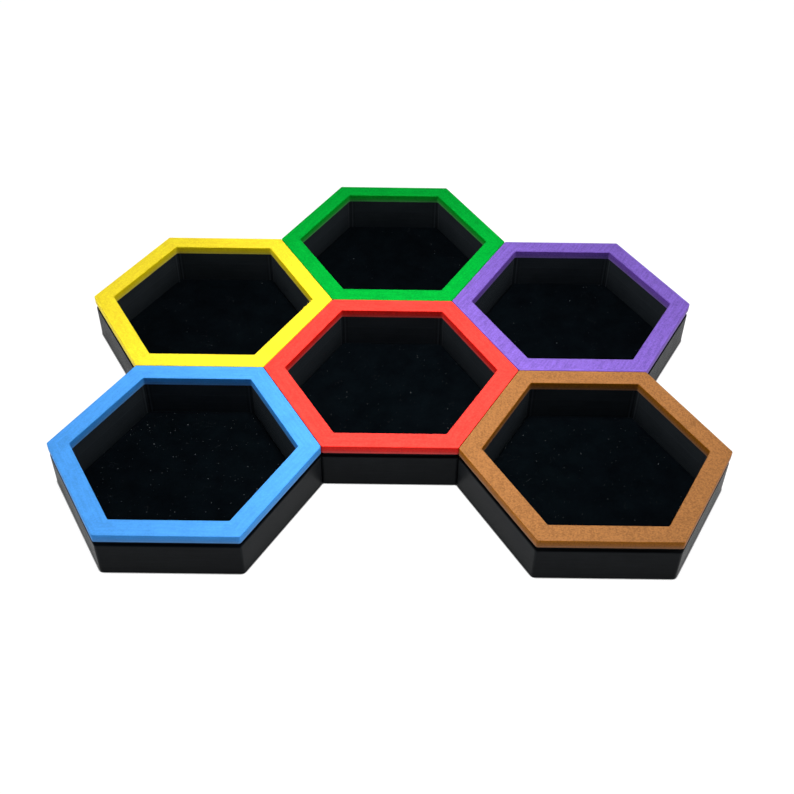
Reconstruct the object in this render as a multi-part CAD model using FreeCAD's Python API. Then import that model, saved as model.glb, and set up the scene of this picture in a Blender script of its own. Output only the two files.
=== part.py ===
import FreeCAD, Part
import math
import os

# A set of six separate hexagonal dice trays that stand side to side as a honeycomb.
# Each tray is a black printed box with a coloured rim on top, a felt floor liner,
# and disc magnets hidden in its walls that hold it to its neighbours.
#
# Millimetres, +Z up. The origin is the centre of the middle tray's underside, so the
# table is the plane z = 0. Every tray has two sides square to Y and two corners on X.

# Driving dimensions: the tray's outside
TRAY_WIDTH = 100.0  # across the flats of the rim
TRAY_HEIGHT = 23.0
TRAY_GAP = 0.2  # between the rims of two joined trays
RIM_WIDTH = 8.3
RIM_HEIGHT = 4.0
REVEAL_HEIGHT = 2.5  # the dark line between the rim and the box
REVEAL_DEPTH = 1.2
SHELL_INSET = 0.05  # how far the box's sides stand back from the rim's
FLOOR_THICKNESS = 2.0
FELT_THICKNESS = 1.0
FELT_CLEARANCE = 0.15

# Driving dimensions: edges and corners
SHELL_CORNER_RADIUS = 1.6
WELL_CORNER_RADIUS = 1.4
RIM_CORNER_RADIUS = 1.0
RIM_EDGE_RADIUS = 0.4  # top edges only
BASE_CHAMFER = 0.2
SHOULDER_CHAMFER = 0.3

# Driving dimensions: magnets, two to a side, in slots that the rim closes from above
MAGNET_DIAMETER = 8.0
MAGNET_THICKNESS = 3.0
MAGNET_FROM_MIDDLE = 16.0  # along the side
MAGNET_SKIN = 2.0  # wall left between a magnet and the outside
MAGNET_CLEARANCE = 0.1  # all round a magnet in its slot

# Where each tray stands: the direction from the middle tray, in degrees, or None
TRAYS = {
    "red": None,
    "green": 90,
    "yellow": 150,
    "blue": 210,
    "brown": 330,
    "purple": 30,
}

# Worked out from the driving dimensions
SIDES = 6
TOLERANCE = 1e-4  # for telling which edges lie at a height
PITCH = TRAY_WIDTH + TRAY_GAP
SHELL_WIDTH = TRAY_WIDTH - 2 * SHELL_INSET
WELL_WIDTH = TRAY_WIDTH - 2 * RIM_WIDTH
NECK_WIDTH = SHELL_WIDTH - 2 * REVEAL_DEPTH
FELT_WIDTH = WELL_WIDTH - 2 * FELT_CLEARANCE
RIM_BASE = TRAY_HEIGHT - RIM_HEIGHT
SHOULDER_HEIGHT = RIM_BASE - REVEAL_HEIGHT
MAGNET_OUTER_Y = SHELL_WIDTH / 2 - MAGNET_SKIN
MAGNET_CENTRE_HEIGHT = RIM_BASE - MAGNET_CLEARANCE - MAGNET_DIAMETER / 2


def hexagon_prism(width, bottom, top, corner_radius):
    """A hexagonal prism, width across its flats, with rounded upright edges."""
    reach = width / math.sqrt(3)
    corners = []
    for i in range(SIDES + 1):
        turn = math.radians(60 * i)
        corners.append(FreeCAD.Vector(reach * math.cos(turn), reach * math.sin(turn), bottom))
    face = Part.Face(Part.makePolygon(corners))
    prism = face.extrude(FreeCAD.Vector(0, 0, top - bottom))
    return prism.makeFillet(corner_radius, upright_edges(prism))


def upright_edges(shape):
    """The edges that stand parallel to Z."""
    found = []
    for edge in shape.Edges:
        box = edge.BoundBox
        if box.XLength < TOLERANCE and box.YLength < TOLERANCE:
            found.append(edge)
    return found


def edges_at(shape, height):
    """The edges that lie flat at a height."""
    found = []
    for edge in shape.Edges:
        box = edge.BoundBox
        if abs(box.ZMin - height) < TOLERANCE and abs(box.ZMax - height) < TOLERANCE:
            found.append(edge)
    return found


def on_every_side(shape):
    """Copies of a solid that belongs to the +Y side, two to a side on all six sides."""
    copies = []
    for side in range(SIDES):
        for along in (-MAGNET_FROM_MIDDLE, MAGNET_FROM_MIDDLE):
            copy = shape.copy()
            copy.translate(FreeCAD.Vector(along, 0, 0))
            copy.rotate(FreeCAD.Vector(0, 0, 0), FreeCAD.Vector(0, 0, 1), 60 * side)
            copies.append(copy)
    return copies


def magnet_disc(extra):
    """A disc that faces the +Y side, with extra all round it."""
    start = FreeCAD.Vector(0, MAGNET_OUTER_Y + extra, MAGNET_CENTRE_HEIGHT)
    depth = MAGNET_THICKNESS + 2 * extra
    return Part.makeCylinder(MAGNET_DIAMETER / 2 + extra, depth, start, FreeCAD.Vector(0, -1, 0))


def magnet_slot():
    """The slot for a magnet on the +Y side: round below, and open upwards past the wall's top."""
    width = MAGNET_DIAMETER + 2 * MAGNET_CLEARANCE
    thickness = MAGNET_THICKNESS + 2 * MAGNET_CLEARANCE
    back = MAGNET_OUTER_Y + MAGNET_CLEARANCE - thickness
    corner = FreeCAD.Vector(-width / 2, back, MAGNET_CENTRE_HEIGHT)
    block = Part.makeBox(width, thickness, TRAY_HEIGHT - MAGNET_CENTRE_HEIGHT, corner)
    return block.fuse(magnet_disc(MAGNET_CLEARANCE)).removeSplitter()


def make_shell():
    """The black box: floor, walls, recessed neck, and the magnets' slots."""
    box = hexagon_prism(SHELL_WIDTH, 0, SHOULDER_HEIGHT, SHELL_CORNER_RADIUS)
    box = box.makeChamfer(BASE_CHAMFER, edges_at(box, 0))
    box = box.makeChamfer(SHOULDER_CHAMFER, edges_at(box, SHOULDER_HEIGHT))
    neck = hexagon_prism(NECK_WIDTH, FLOOR_THICKNESS, RIM_BASE, SHELL_CORNER_RADIUS)
    well = hexagon_prism(WELL_WIDTH, FLOOR_THICKNESS, TRAY_HEIGHT, WELL_CORNER_RADIUS)
    return box.fuse(neck).cut(well).cut(on_every_side(magnet_slot())).removeSplitter()


def make_rim():
    """The coloured frame that lies on the neck and closes the magnets' slots."""
    frame = hexagon_prism(TRAY_WIDTH, RIM_BASE, TRAY_HEIGHT, RIM_CORNER_RADIUS)
    frame = frame.cut(hexagon_prism(WELL_WIDTH, RIM_BASE, TRAY_HEIGHT, RIM_CORNER_RADIUS))
    return frame.makeFillet(RIM_EDGE_RADIUS, edges_at(frame, TRAY_HEIGHT))


def make_felt():
    """The felt cut to the well's floor."""
    top = FLOOR_THICKNESS + FELT_THICKNESS
    return hexagon_prism(FELT_WIDTH, FLOOR_THICKNESS, top, WELL_CORNER_RADIUS)


def make_magnets():
    """The twelve discs of one tray, separate solids in one group."""
    return Part.makeCompound(on_every_side(magnet_disc(0)))


def tray_centre(direction):
    """Where a tray's own centre stands."""
    if direction is None:
        return FreeCAD.Vector(0, 0, 0)
    turn = math.radians(direction)
    return FreeCAD.Vector(PITCH * math.cos(turn), PITCH * math.sin(turn), 0)


pieces = {
    "tray_shell": make_shell(),
    "rim": make_rim(),
    "felt_liner": make_felt(),
    "magnets": make_magnets(),
}

os.makedirs("parts", exist_ok=True)
for colour, direction in TRAYS.items():
    for piece_name, piece in pieces.items():
        placed = piece.copy()
        placed.translate(tray_centre(direction))
        placed.exportStep("parts/" + colour + "_" + piece_name + ".step")
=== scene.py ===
import math

import bmesh
import bpy
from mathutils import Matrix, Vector, noise


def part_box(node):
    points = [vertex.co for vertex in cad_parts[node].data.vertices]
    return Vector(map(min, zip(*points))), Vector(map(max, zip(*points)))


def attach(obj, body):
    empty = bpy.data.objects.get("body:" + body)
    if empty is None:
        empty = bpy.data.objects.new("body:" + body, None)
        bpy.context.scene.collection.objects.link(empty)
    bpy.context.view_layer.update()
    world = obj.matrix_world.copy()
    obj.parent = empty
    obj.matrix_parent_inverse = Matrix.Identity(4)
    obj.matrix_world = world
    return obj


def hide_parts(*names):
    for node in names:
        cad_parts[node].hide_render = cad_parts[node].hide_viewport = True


# The looks of a set of six hexagonal trays that stand side to side. The frame gives every
# shape but the felt liners, which are built here. Patterns are measured in millimetres
# from the tray's own centre, so that they travel with it. Colours are linear.

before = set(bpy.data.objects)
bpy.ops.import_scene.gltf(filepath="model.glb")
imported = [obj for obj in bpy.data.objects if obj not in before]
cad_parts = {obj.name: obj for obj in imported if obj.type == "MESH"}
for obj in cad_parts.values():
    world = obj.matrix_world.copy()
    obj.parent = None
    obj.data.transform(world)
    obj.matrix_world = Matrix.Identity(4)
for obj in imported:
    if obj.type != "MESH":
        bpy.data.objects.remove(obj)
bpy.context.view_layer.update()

MM = 0.001
COLOURS = ("red", "green", "yellow", "blue", "brown", "purple")

# The trays' shape in millimetres: all but the clearance is read from the frame
RIM_LOW, RIM_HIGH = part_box("red_rim")
FELT_CLEARANCE = 0.15
RIM_OUTER = RIM_HIGH.y / MM
RIM_BASE = RIM_LOW.z / MM
FELT_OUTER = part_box("red_felt_liner")[1].y / MM
WELL_FLAT = FELT_OUTER + FELT_CLEARANCE

# Printing, in millimetres
LINE_PITCH = 0.42  # between the lines of a top surface
LAYER_PITCH = 0.2
GROOVE_MEAN = 0.64  # of the round-topped profile that the lines have
BORDER_WIDTH = 1.3  # of the lines that follow the edges of a rim whose others run across
PAUSE_HEIGHT = RIM_BASE - 6.2  # a faint line round the inside of each box
RIPPLE_PITCH = 1.9  # upright ripples on the walls beside each corner
RIPPLE_REACH = 4.0
INSIDE_MARGIN = 0.6  # how far past a well's wall still counts as inside

# Each rim's colour, how much deeper its sides are painted than its top as painted shade,
# how strong its streaks are, how speckled it is, and the way its top lines run in degrees
# from X (None follows the edges)
RIM_LOOKS = {
    "red": ((0.95, 0.048, 0.035), 0.5, 0.34, 0.6, None),
    "green": ((0.0002, 0.33, 0.029), 0.3, 0.24, 0.5, None),
    "yellow": ((0.98, 0.655, 0.026), 0.6, 0.16, 0.3, None),
    "blue": ((0.066, 0.288, 0.71), 0.25, 0.17, 0.2, None),
    "brown": ((0.292, 0.123, 0.039), 1.4, 0.15, 0.75, 90),
    "purple": ((0.177, 0.098, 0.42), 0.4, 0.38, 0.5, 60),
}
RIM_DARKEST = 0.72  # shares of the colour
RIM_LIGHTEST = 1.28
RIM_LINE_WEIGHT = 0.55  # how far each pattern pulls the tone between those two
RIM_STREAK_WEIGHT = 4.5
RIM_GRAIN_WEIGHT = 3.2
RIM_CLOUD_WEIGHT = 0.5
RIM_GROOVE_SHADE_WEIGHT = 0.35
RIM_ROUGHNESS = (0.40, 0.58)
RIM_SHINE = 0.04
RIM_RELIEF = 0.03  # millimetres
SIDE_GREY = (0.16, 0.16, 0.16)  # mixed into the lower part of a rim's sides, as painted shade and a painted reflection of the floor
SIDE_GREY_SHARE = 0.15
SIDE_GREY_FROM = RIM_BASE + 2.8  # fades in downwards, from here
SIDE_GREY_FULL = RIM_BASE + 0.9  # to here
# A painted sheen: a paler band along the foot of a rim's sides, where it reflects the floor
FOOT_SHEEN_GREY = (0.6, 0.6, 0.6)
FOOT_SHEEN_SHARE = 0.05
FOOT_SHEEN_FROM = RIM_BASE + 1.0
FOOT_SHEEN_FULL = RIM_BASE + 0.7

# The boxes' black plastic: darkest and lightest, outside and inside; the inside's lighter, bluer
# copy is painted light on the well's walls
SHELL_OUTSIDE = ((0.0046, 0.0053, 0.0062, 1), (0.0116, 0.0132, 0.0148, 1))
SHELL_INSIDE_PAINTED_LIGHT = ((0.0140, 0.0172, 0.0200, 1), (0.0235, 0.0280, 0.0320, 1))
SHELL_LINE_WEIGHT = 0.15
SHELL_BAND_WEIGHT = 1.0
SHELL_GRAIN_WEIGHT = 0.8
SHELL_SMUDGE_WEIGHT = 1.0
SHELL_LOW_SHADE_WEIGHT = 0.6
SHELL_PAUSE_WEIGHT = 0.7
SHELL_PALER_FROM = 2.0  # painted shade: the tone rises with height between these, in millimetres, so each box is darker towards the floor
SHELL_PALER_TO = 14.0
PAUSE_WIDTH = (0.35, 0.1)  # millimetres from its middle where it starts, and is full
SHELL_ROUGHNESS = (0.28, 0.42)
SHELL_SHINE = 0.02
SHELL_RELIEF = 0.02  # millimetres
# Painted highlight on the corner ripples' crests, and painted shade in their hollows
RIPPLE_HIGHLIGHT = (0.040, 0.045, 0.050, 1)
RIPPLE_SHADE = (0.002, 0.002, 0.003, 1)
RIPPLE_SHADE_SHARE = 0.5

# Felt: how much pale lint lies on each, and the cloth's darkest and lightest
FELT_LINT = {
    "red": 0.30,
    "green": 0.14,
    "yellow": 0.20,
    "blue": 0.60,
    "brown": 0.34,
    "purple": 0.22,
}
FELT_CLOTH = ((0.0003, 0.0006, 0.0011, 1), (0.0015, 0.0028, 0.0038, 1))
LINT = (0.20, 0.21, 0.22, 1)
# Two sizes of speck: cells per millimetre, how much of the felt's lint they take, radius in
# millimetres, and brightness
SPECKS = ((0.30, 1.0, 0.26, 0.8), (0.60, 2.0, 0.22, 0.40))
HAIR_WIDTH = (0.0014, 0.0006)  # how far the noise is from its middle at a hair's edge and core
HAIR_BRIGHTNESS = 0.10
HAIR_PARTS = 0.70  # a higher value leaves fewer places where a hair shows
FELT_RELIEF = 0.25  # millimetres

# Felt, built as a lattice, in millimetres
FELT_RINGS = 64
FELT_CORNER_CUT = 0.25
FELT_TOP_DROP = 0.05
FELT_UNEVENNESS = 0.10
FELT_EDGE_DROP = 0.45
FELT_RAGGEDNESS = 0.0022  # a share of the felt's reach
FELT_UNDER_GAP = 0.01

NICKEL = ((0.52, 0.50, 0.46, 1), (0.70, 0.68, 0.64, 1))
NICKEL_ROUGHNESS = (0.16, 0.34)
NICKEL_RELIEF = 0.01  # millimetres

# Each lamp's name, place, target, width (metres), spread (degrees) and power (watts)
LAMPS = (
    ("overhead", (0.012, -0.020, 0.80), (0.012, -0.020, 0.0), 0.25, 38, 0.58),
    ("left", (-1.0, -0.05, 0.30), (0.0, 0.0, 0.0), 0.4, 180, 3.9),
    ("right", (1.0, -0.05, 0.30), (0.0, 0.0, 0.0), 0.4, 180, 3.9),
)
SKY = (0.70, 1.0, 1.35, 1)
SKY_STRENGTH = 0.10

FLOOR_HALF_WIDTH = 12.0  # metres
FLOOR_PAINT = (0.06, 0.06, 0.06, 1)
FLOOR_GLOW = 1.0
CONTACT_REACH = 1.5  # how close to a box the floor's painted contact shadow reaches, in millimetres
CONTACT_DARK = 0.50  # shares of open air above the floor: dark up to here,
CONTACT_CLEAR = 0.72  # and at full glow from here

CAMERA_LENS = 51.8
CAMERA_PLACE = (0.0014, -0.3880, 0.3656)
CAMERA_TURN = (47.12, -0.64, 0.38)  # degrees


class Paint:
    """A material being made: each method adds a node and gives back what it puts out."""

    def __init__(self, name):
        self.material = bpy.data.materials.new(name)
        self.material.use_nodes = True
        self.tree = self.material.node_tree
        self.shader = self.tree.nodes["Principled BSDF"]

    def feed(self, socket, value):
        if isinstance(value, bpy.types.NodeSocket):
            self.tree.links.new(value, socket)
        else:
            socket.default_value = value

    def node(self, kind, inputs=None, **settings):
        made = self.tree.nodes.new("ShaderNode" + kind)
        for name, value in settings.items():
            setattr(made, name, value)
        for name, value in (inputs or {}).items():
            self.feed(made.inputs[name], value)
        return made

    def math(self, operation, *values, clamp=False):
        made = self.node("Math", operation=operation, use_clamp=clamp)
        for socket, value in zip(made.inputs, values):
            self.feed(socket, value)
        return made.outputs[0]

    def add(self, vector, offset):
        made = self.node("VectorMath", {0: vector, 1: offset}, operation="ADD")
        return made.outputs[0]

    def dot(self, vector, direction):
        made = self.node("VectorMath", {0: vector, 1: direction}, operation="DOT_PRODUCT")
        return made.outputs["Value"]

    def combine(self, x, y, z=0.0):
        return self.node("CombineXYZ", {0: x, 1: y, 2: z}).outputs[0]

    def split(self, vector):
        return self.node("SeparateXYZ", {0: vector}).outputs

    def noise(self, vector, scale, detail=2.0, roughness=0.5):
        inputs = {"Vector": vector, "Scale": scale, "Detail": detail, "Roughness": roughness}
        return self.node("TexNoise", inputs).outputs[0]

    def cells(self, vector, scale):
        return self.node("TexVoronoi", {"Vector": vector, "Scale": scale}).outputs

    def ramp(self, value, low, high, out_low=0.0, out_high=1.0):
        inputs = {
            "Value": value,
            "From Min": low,
            "From Max": high,
            "To Min": out_low,
            "To Max": out_high,
        }
        return self.node("MapRange", inputs).outputs[0]

    def mix(self, share, a, b):
        """A number that goes from a to b."""
        return self.node("Mix", {0: share, 2: a, 3: b}, data_type="FLOAT").outputs[0]

    def tint(self, share, a, b):
        """A colour that goes from a to b."""
        return self.node("Mix", {0: share, 6: a, 7: b}, data_type="RGBA").outputs[2]

    def tone(self, patterns):
        """A half, moved by how far each pattern is from its middle, times its weight."""
        share = 0.5
        for pattern, middle, weight in patterns:
            away = self.math("SUBTRACT", pattern, middle)
            share = self.math("MULTIPLY_ADD", away, weight, share)
        return share

    def relief(self, height, parts):
        """A height with more patterns added, each times its weight."""
        for pattern, weight in parts:
            height = self.math("MULTIPLY_ADD", pattern, weight, height)
        return height

    def bump(self, height, depth, strength):
        """Roughens the surface by up to a depth in millimetres."""
        inputs = {"Height": height, "Distance": depth * MM, "Strength": strength}
        self.feed(self.shader.inputs["Normal"], self.node("Bump", inputs).outputs[0])

    def place(self, centre):
        """Where a point is from a tray's centre on the table, in millimetres."""
        local = self.node("TexCoord").outputs["Object"]
        moved = self.node("VectorMath", {0: local, 1: centre}, operation="SUBTRACT").outputs[0]
        scaled = self.node("VectorMath", {0: moved, "Scale": 1 / MM}, operation="SCALE")
        return scaled.outputs[0]

    def facing_up(self):
        """1 on a face that lies flat, 0 on an upright one."""
        upward = self.split(self.node("TexCoord").outputs["Normal"])[2]
        return self.ramp(self.math("ABSOLUTE", upward), 0.6, 0.8)

    def beads(self, distance, pitch):
        """Round-topped lines side by side: 1 along the top of each, 0 in the grooves."""
        turned = self.math("SINE", self.math("MULTIPLY", distance, math.pi / pitch))
        return self.math("ABSOLUTE", turned)

    def each(self, distance, pitch, seed):
        """A number of its own, from 0 to 1, for each of those lines."""
        index = self.math("FLOOR", self.math("DIVIDE", distance, pitch))
        inputs = {"W": self.math("ADD", index, seed)}
        return self.node("TexWhiteNoise", inputs, noise_dimensions="1D").outputs[0]

    def set(self, **values):
        for name, value in values.items():
            self.feed(self.shader.inputs[name.replace("_", " ")], value)


def shade(colour, factor=1.0):
    """A colour made lighter or darker, with alpha."""
    return tuple(min(channel * factor, 1.0) for channel in colour) + (1.0,)


def painted_side_shade(colour, amount):
    """The same colour painted deeper and darker for the upright sides: painted shade, as the
    sides catch less light than the top.
    """
    strongest = max(colour)
    return tuple(channel * min(2 * channel / strongest, 1) ** amount for channel in colour)


def hexagon_field(paint, place):
    """How far out a point is, square to the nearest side, and how far along that side."""
    across = None
    along = None
    for turn in (90, 30, 150):
        angle = math.radians(turn)
        reach = paint.math("ABSOLUTE", paint.dot(place, (math.cos(angle), math.sin(angle), 0)))
        beside = paint.dot(place, (-math.sin(angle), math.cos(angle), 0))
        if across is None:
            across = reach
            along = beside
        else:
            along = paint.mix(paint.math("GREATER_THAN", reach, across), along, beside)
            across = paint.math("MAXIMUM", across, reach)
    return across, along


def tray_centre(colour):
    low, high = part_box(colour + "_tray_shell")
    return Vector(((low.x + high.x) / 2, (low.y + high.y) / 2, 0))


def line_fields(paint, place, across, along, line_turn):
    """What is counted across a rim's top lines, and along them."""
    if line_turn is None:
        return across, along
    angle = math.radians(line_turn)
    sideways = paint.dot(place, (-math.sin(angle), math.cos(angle), 0))
    forward = paint.dot(place, (math.cos(angle), math.sin(angle), 0))
    from_outside = paint.math("SUBTRACT", RIM_OUTER, across)
    from_inside = paint.math("SUBTRACT", across, WELL_FLAT)
    from_edge = paint.math("MINIMUM", from_outside, from_inside)
    border = paint.math("LESS_THAN", from_edge, BORDER_WIDTH)
    return paint.mix(border, sideways, across), paint.mix(border, forward, along)


def rim_material(colour):
    """Printed plastic: lines on top that follow the edges or run across, layers on the sides."""
    base, depth, streaks, speckle, line_turn = RIM_LOOKS[colour]
    seed = COLOURS.index(colour) * 31.0
    paint = Paint(colour + "_printed_plastic")
    place = paint.place(tray_centre(colour))
    across, along = hexagon_field(paint, place)
    height = paint.split(place)[2]
    flat = paint.facing_up()

    top_lines, top_run = line_fields(paint, place, across, along, line_turn)
    layers = paint.math("MULTIPLY", height, LINE_PITCH / LAYER_PITCH)
    line_field = paint.mix(flat, layers, top_lines)
    run_field = paint.mix(flat, along, top_run)

    beads = paint.beads(line_field, LINE_PITCH)
    line_tone = paint.each(line_field, LINE_PITCH, seed)
    stretched = paint.combine(
        paint.math("MULTIPLY", line_field, 0.9),
        paint.math("MULTIPLY", run_field, 0.10),
        seed,
    )
    streak = paint.noise(stretched, scale=1.0, detail=3.0, roughness=0.65)
    grain = paint.noise(place, scale=1.5, detail=2.0, roughness=0.5)
    cloud = paint.noise(place, scale=0.09, detail=3.0, roughness=0.6)
    share = paint.tone((
        (line_tone, 0.5, RIM_LINE_WEIGHT * streaks),
        (streak, 0.5, RIM_STREAK_WEIGHT * streaks),
        (grain, 0.5, RIM_GRAIN_WEIGHT * speckle),
        (cloud, 0.5, RIM_CLOUD_WEIGHT),
        # Darker in the grooves between printed lines and lighter on their crowns: painted shade.
        (beads, GROOVE_MEAN, RIM_GROOVE_SHADE_WEIGHT),
    ))

    top_colour = paint.tint(share, shade(base, RIM_DARKEST), shade(base, RIM_LIGHTEST))
    # The sides get a deeper, darker copy of the top's colour: painted shade.
    shaded_side_base = painted_side_shade(base, depth)
    side_colour = paint.tint(share, shade(shaded_side_base, RIM_DARKEST), shade(shaded_side_base, RIM_LIGHTEST))
    # Greyer towards the bottom of the sides: painted shade and a painted reflection of the floor.
    greyer = paint.ramp(height, SIDE_GREY_FROM, SIDE_GREY_FULL, 0.0, SIDE_GREY_SHARE)
    side_colour = paint.tint(greyer, side_colour, shade(SIDE_GREY))
    # A paler band at the foot of the sides: painted sheen, a reflection of the floor.
    foot_sheen = paint.ramp(height, FOOT_SHEEN_FROM, FOOT_SHEEN_FULL, 0.0, FOOT_SHEEN_SHARE)
    side_colour = paint.tint(foot_sheen, side_colour, shade(FOOT_SHEEN_GREY))

    wear = paint.math("ADD", streak, paint.math("MULTIPLY", line_tone, 0.2))
    paint.set(
        Base_Color=paint.tint(flat, side_colour, top_colour),
        Roughness=paint.ramp(wear, 0.4, 0.8, *RIM_ROUGHNESS),
        Specular_IOR_Level=RIM_SHINE,
    )
    paint.bump(paint.relief(beads, ((grain, 0.8), (streak, 1.0))), RIM_RELIEF, 0.7)
    return paint.material


def corner_ripples(paint, across, along, flat, inside):
    """Upright ripples, from -1 to 1, that fade with distance from a well's corner."""
    half_side = paint.math("MULTIPLY", across, math.tan(math.radians(30)))
    from_corner = paint.math("SUBTRACT", half_side, paint.math("ABSOLUTE", along))
    wave = paint.math("SINE", paint.math("MULTIPLY", from_corner, 2 * math.pi / RIPPLE_PITCH))
    wave = paint.math("MULTIPLY", wave, paint.ramp(from_corner, RIPPLE_REACH, 0.0))
    wave = paint.math("MULTIPLY", wave, paint.math("SUBTRACT", flat, 1.0))
    return paint.math("MULTIPLY", wave, inside)


def shell_material(colour):
    """Black printed plastic: satin, layered on its walls, with a faint line inside."""
    paint = Paint(colour + "_tray_black_plastic")
    place = paint.place(tray_centre(colour))
    across, along = hexagon_field(paint, place)
    height = paint.split(place)[2]
    flat = paint.facing_up()
    inside = paint.math("LESS_THAN", across, WELL_FLAT + INSIDE_MARGIN)

    layers = paint.math("MULTIPLY", height, LINE_PITCH / LAYER_PITCH)
    line_field = paint.mix(flat, layers, across)
    beads = paint.beads(line_field, LINE_PITCH)
    line_tone = paint.each(line_field, LINE_PITCH, COLOURS.index(colour) * 17.0)
    stretched = paint.combine(
        paint.math("MULTIPLY", line_field, 1.2),
        paint.math("MULTIPLY", along, 0.05),
    )
    band = paint.noise(stretched, scale=1.0, detail=3.0, roughness=0.6)
    grain = paint.noise(place, scale=2.5, detail=3.0, roughness=0.7)
    smudge = paint.noise(place, scale=0.09, detail=3.0, roughness=0.6)
    from_pause = paint.math("ABSOLUTE", paint.math("SUBTRACT", height, PAUSE_HEIGHT))
    pause = paint.math("MULTIPLY", inside, paint.ramp(from_pause, *PAUSE_WIDTH))
    ripple = corner_ripples(paint, across, along, flat, inside)
    share = paint.tone((
        (line_tone, 0.5, SHELL_LINE_WEIGHT),
        (band, 0.5, SHELL_BAND_WEIGHT),
        (grain, 0.5, SHELL_GRAIN_WEIGHT),
        (smudge, 0.5, SHELL_SMUDGE_WEIGHT),
        # Darker towards the bottom of each box: painted shade.
        (paint.ramp(height, SHELL_PALER_FROM, SHELL_PALER_TO), 0.5, SHELL_LOW_SHADE_WEIGHT),
        (pause, 0.0, SHELL_PAUSE_WEIGHT),
    ))

    # Inside the well the same plastic gets a lighter, bluer copy: painted light.
    plastic = paint.tint(
        inside,
        paint.tint(share, *SHELL_OUTSIDE),
        paint.tint(share, *SHELL_INSIDE_PAINTED_LIGHT),
    )
    # Paler on the ripples' crests and darker in their hollows: painted highlight and painted
    # shade.
    plastic = paint.tint(paint.ramp(ripple, 0.1, 1.0), plastic, RIPPLE_HIGHLIGHT)
    hollow_shade = paint.ramp(ripple, -0.1, -1.0, 0.0, RIPPLE_SHADE_SHARE)
    wear = paint.math("MULTIPLY_ADD", band, 0.4, smudge)
    paint.set(
        Base_Color=paint.tint(hollow_shade, plastic, RIPPLE_SHADE),
        Roughness=paint.ramp(wear, 0.4, 1.0, *SHELL_ROUGHNESS),
        Specular_IOR_Level=SHELL_SHINE,
    )
    relief = paint.relief(beads, ((band, 1.2), (grain, 0.5), (pause, 2.0), (ripple, 2.0)))
    paint.bump(relief, SHELL_RELIEF, 0.6)
    return paint.material


def lint_field(paint, moved, lint):
    """How pale the cloth is made by specks of lint, large and small, and by a rare hair."""
    wander = paint.node("TexNoise", {"Vector": moved, "Scale": 2.2}).outputs[1]
    warped = paint.add(moved, wander)
    pale = None
    for scale, part, radius, strength in SPECKS:
        cells = paint.cells(warped, scale)
        chance = paint.split(cells["Color"])
        size = paint.ramp(chance[0], 1 - part * lint, 1.0, 0.0, radius * scale)
        speck = paint.math("LESS_THAN", cells["Distance"], size)
        glint = paint.math("MULTIPLY", speck, paint.math("MULTIPLY", chance[1], strength))
        pale = glint if pale is None else paint.math("MAXIMUM", pale, glint)
    contour = paint.math("SUBTRACT", paint.noise(moved, scale=0.14, detail=1.0), 0.5)
    from_hair = paint.math("ABSOLUTE", contour)
    hair = paint.ramp(from_hair, *HAIR_WIDTH, 0.0, HAIR_BRIGHTNESS)
    hair_part = paint.math("GREATER_THAN", paint.noise(moved, scale=0.12, detail=0.0), HAIR_PARTS)
    return paint.math("MAXIMUM", pale, paint.math("MULTIPLY", hair, hair_part))


def felt_material(colour, lint):
    """Black felt: matted fibres, a soft nap, and specks of pale lint."""
    paint = Paint(colour + "_black_felt")
    place = paint.place(tray_centre(colour))
    seed = COLOURS.index(colour) * 37.0
    moved = paint.add(place, (seed, seed / 2, 0))
    fibres = paint.noise(moved, scale=3.2, detail=4.0, roughness=0.75)
    nap = paint.noise(moved, scale=0.10, detail=4.0, roughness=0.7)
    pale = lint_field(paint, moved, lint)

    brushed = paint.ramp(nap, 0.3, 0.7, -0.1, 0.6)
    share = paint.math("MULTIPLY_ADD", fibres, 0.6, brushed, clamp=True)
    paint.set(
        Base_Color=paint.tint(pale, paint.tint(share, *FELT_CLOTH), LINT),
        Roughness=0.95,
        Specular_IOR_Level=0.01,
        Sheen_Weight=0.003,
        Sheen_Roughness=0.4,
        Sheen_Tint=(0.55, 0.65, 0.80, 1),
    )
    paint.bump(paint.math("MULTIPLY_ADD", pale, 0.8, fibres), FELT_RELIEF, 0.8)
    return paint.material


def magnet_material():
    """Nickel plate, a little uneven."""
    paint = Paint("nickel_plate")
    scuff = paint.noise(paint.place((0, 0, 0)), scale=1.5, detail=3.0, roughness=0.7)
    paint.set(
        Base_Color=paint.tint(scuff, *NICKEL),
        Metallic=1.0,
        Roughness=paint.ramp(scuff, 0.3, 0.7, *NICKEL_ROUGHNESS),
    )
    paint.bump(scuff, NICKEL_RELIEF, 0.4)
    return paint.material


def give(thing, material):
    thing.data.materials.clear()
    thing.data.materials.append(material)


def felt_points(mesh, colour):
    """The felt's top on a hexagonal lattice, keyed by its two lattice steps."""
    centre = tray_centre(colour)
    felt_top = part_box(colour + "_felt_liner")[1].z / MM
    reach = FELT_OUTER / math.cos(math.radians(30))
    rounded = reach - FELT_CORNER_CUT
    step = reach / FELT_RINGS
    points = {}
    for q in range(-FELT_RINGS, FELT_RINGS + 1):
        for r in range(max(-FELT_RINGS, -q - FELT_RINGS), min(FELT_RINGS, -q + FELT_RINGS) + 1):
            x = step * (q + r / 2)
            y = step * r * math.sin(math.radians(60))
            ring = max(abs(q), abs(r), abs(q + r))
            out = math.hypot(x, y)
            if out > rounded:
                x *= rounded / out
                y *= rounded / out
            spot = Vector((x, y, 0)) + centre / MM
            lift = FELT_UNEVENNESS * (noise.noise(spot * 1.9) + noise.noise(spot * 0.11))
            top = felt_top - FELT_TOP_DROP + lift
            if ring == FELT_RINGS:
                ragged = 1 - FELT_RAGGEDNESS * (1 + noise.noise(spot * 0.9))
                x *= ragged
                y *= ragged
                top -= FELT_EDGE_DROP
            points[q, r] = mesh.verts.new((centre.x + x * MM, centre.y + y * MM, top * MM))
    return points


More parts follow.
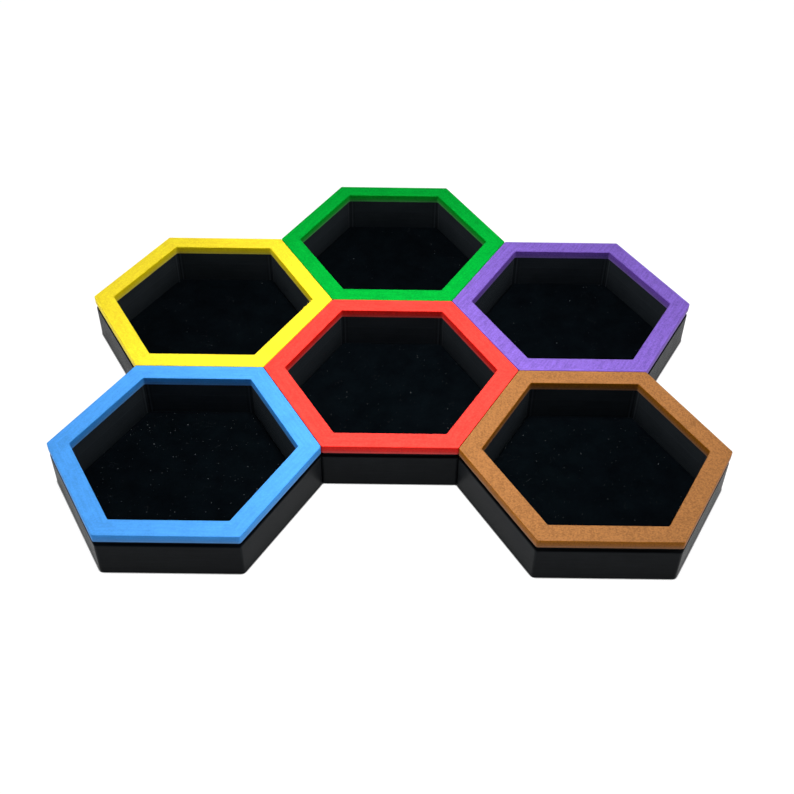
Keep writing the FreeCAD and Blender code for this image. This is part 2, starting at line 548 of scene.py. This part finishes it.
def felt_border():
    """The lattice steps of the felt's outermost points, in order round it."""
    q, r = FELT_RINGS, 0
    keys = []
    for step_q, step_r in ((-1, 1), (-1, 0), (0, -1), (1, -1), (1, 0), (0, 1)):
        for _ in range(FELT_RINGS):
            keys.append((q, r))
            q += step_q
            r += step_r
    return keys


def build_felt(colour):
    """A hexagon of felt: lightly uneven on top, thinner and rougher at its cut edge."""
    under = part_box(colour + "_felt_liner")[0].z + FELT_UNDER_GAP * MM
    mesh = bmesh.new()
    points = felt_points(mesh, colour)
    for q, r in points:
        if (q + 1, r) in points and (q, r + 1) in points:
            mesh.faces.new((points[q, r], points[q + 1, r], points[q, r + 1]))
        if (q + 1, r) in points and (q + 1, r - 1) in points:
            mesh.faces.new((points[q, r], points[q + 1, r - 1], points[q + 1, r]))
    border = [points[key] for key in felt_border()]
    feet = [mesh.verts.new((vert.co.x, vert.co.y, under)) for vert in border]
    for i in range(len(border)):
        mesh.faces.new((feet[i - 1], feet[i], border[i], border[i - 1]))
    mesh.faces.new(feet[::-1])
    data = bpy.data.meshes.new(colour + "_felt")
    mesh.to_mesh(data)
    mesh.free()
    data.polygons.foreach_set("use_smooth", [True] * len(data.polygons))
    felt = bpy.data.objects.new(colour + "_felt", data)
    bpy.context.scene.collection.objects.link(felt)
    give(felt, felt_material(colour, FELT_LINT[colour]))
    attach(felt, colour + "_tray")
    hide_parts(colour + "_felt_liner")


def floor_material():
    """White and evenly bright, but with a painted contact shadow: dark in a narrow line along the
    boxes' feet.
    """
    paint = Paint("white_floor")
    open_air = paint.node("AmbientOcclusion", {"Distance": CONTACT_REACH * MM}, samples=16)
    paint.set(
        Base_Color=FLOOR_PAINT,
        Roughness=0.9,
        Specular_IOR_Level=0.1,
        Emission_Color=(1, 1, 1, 1),
        # The glow fades where the boxes crowd the floor: a painted contact shadow.
        Emission_Strength=paint.ramp(
            open_air.outputs["AO"], CONTACT_DARK, CONTACT_CLEAR, 0.0, FLOOR_GLOW
        ),
    )
    return paint.material


def backdrop_material():
    """The floor's own white."""
    paint = Paint("white_backdrop")
    paint.set(
        Base_Color=(0, 0, 0, 1),
        Specular_IOR_Level=0.0,
        Emission_Color=(1, 1, 1, 1),
        Emission_Strength=FLOOR_GLOW,
    )
    return paint.material


def build_stage():
    """A glowing white floor, and white walls round its edge that light nothing."""
    half = FLOOR_HALF_WIDTH
    square = [(-half, -half), (half, -half), (half, half), (-half, half)]
    low = [(x, y, 0) for x, y in square]
    high = [(x, y, half) for x, y in square]
    sides = [(i, (i + 1) % 4, 4 + (i + 1) % 4, 4 + i) for i in range(4)]
    shapes = (
        ("floor", low, [(0, 1, 2, 3)], floor_material()),
        ("backdrop", low + high, sides, backdrop_material()),
    )
    for name, points, faces, material in shapes:
        data = bpy.data.meshes.new(name)
        data.from_pydata(points, [], faces)
        piece = bpy.data.objects.new(name, data)
        bpy.context.scene.collection.objects.link(piece)
        give(piece, material)
    backdrop = bpy.data.objects["backdrop"]
    backdrop.visible_diffuse = False
    backdrop.visible_glossy = False
    backdrop.visible_shadow = False


def build_light():
    """A faint sky, a soft lamp overhead, and a softer one at each side."""
    world = bpy.data.worlds.new("studio")
    world.use_nodes = True
    background = world.node_tree.nodes["Background"]
    background.inputs["Color"].default_value = SKY
    background.inputs["Strength"].default_value = SKY_STRENGTH
    bpy.context.scene.world = world

    for name, place, target, size, spread, power in LAMPS:
        light = bpy.data.lights.new(name, "AREA")
        light.shape = "DISK"
        light.size = size
        light.spread = math.radians(spread)
        light.energy = power
        lamp = bpy.data.objects.new(name, light)
        lamp.location = place
        towards = Vector(target) - Vector(place)
        lamp.rotation_euler = towards.to_track_quat("-Z", "Y").to_euler()
        lamp.visible_camera = False
        bpy.context.scene.collection.objects.link(lamp)


def build_camera():
    """A view from the front, about half a metre away, looking down."""
    data = bpy.data.cameras.new("camera")
    data.sensor_width = 36.0
    data.lens = CAMERA_LENS
    camera = bpy.data.objects.new("camera", data)
    camera.location = CAMERA_PLACE
    camera.rotation_euler = [math.radians(turn) for turn in CAMERA_TURN]
    bpy.context.scene.collection.objects.link(camera)
    bpy.context.scene.camera = camera


build_camera()
build_stage()
build_light()
nickel = magnet_material()
for colour in COLOURS:
    give(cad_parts[colour + "_rim"], rim_material(colour))
    give(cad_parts[colour + "_tray_shell"], shell_material(colour))
    give(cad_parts[colour + "_magnets"], nickel)
    build_felt(colour)

bpy.context.scene.view_settings.view_transform = "Standard"
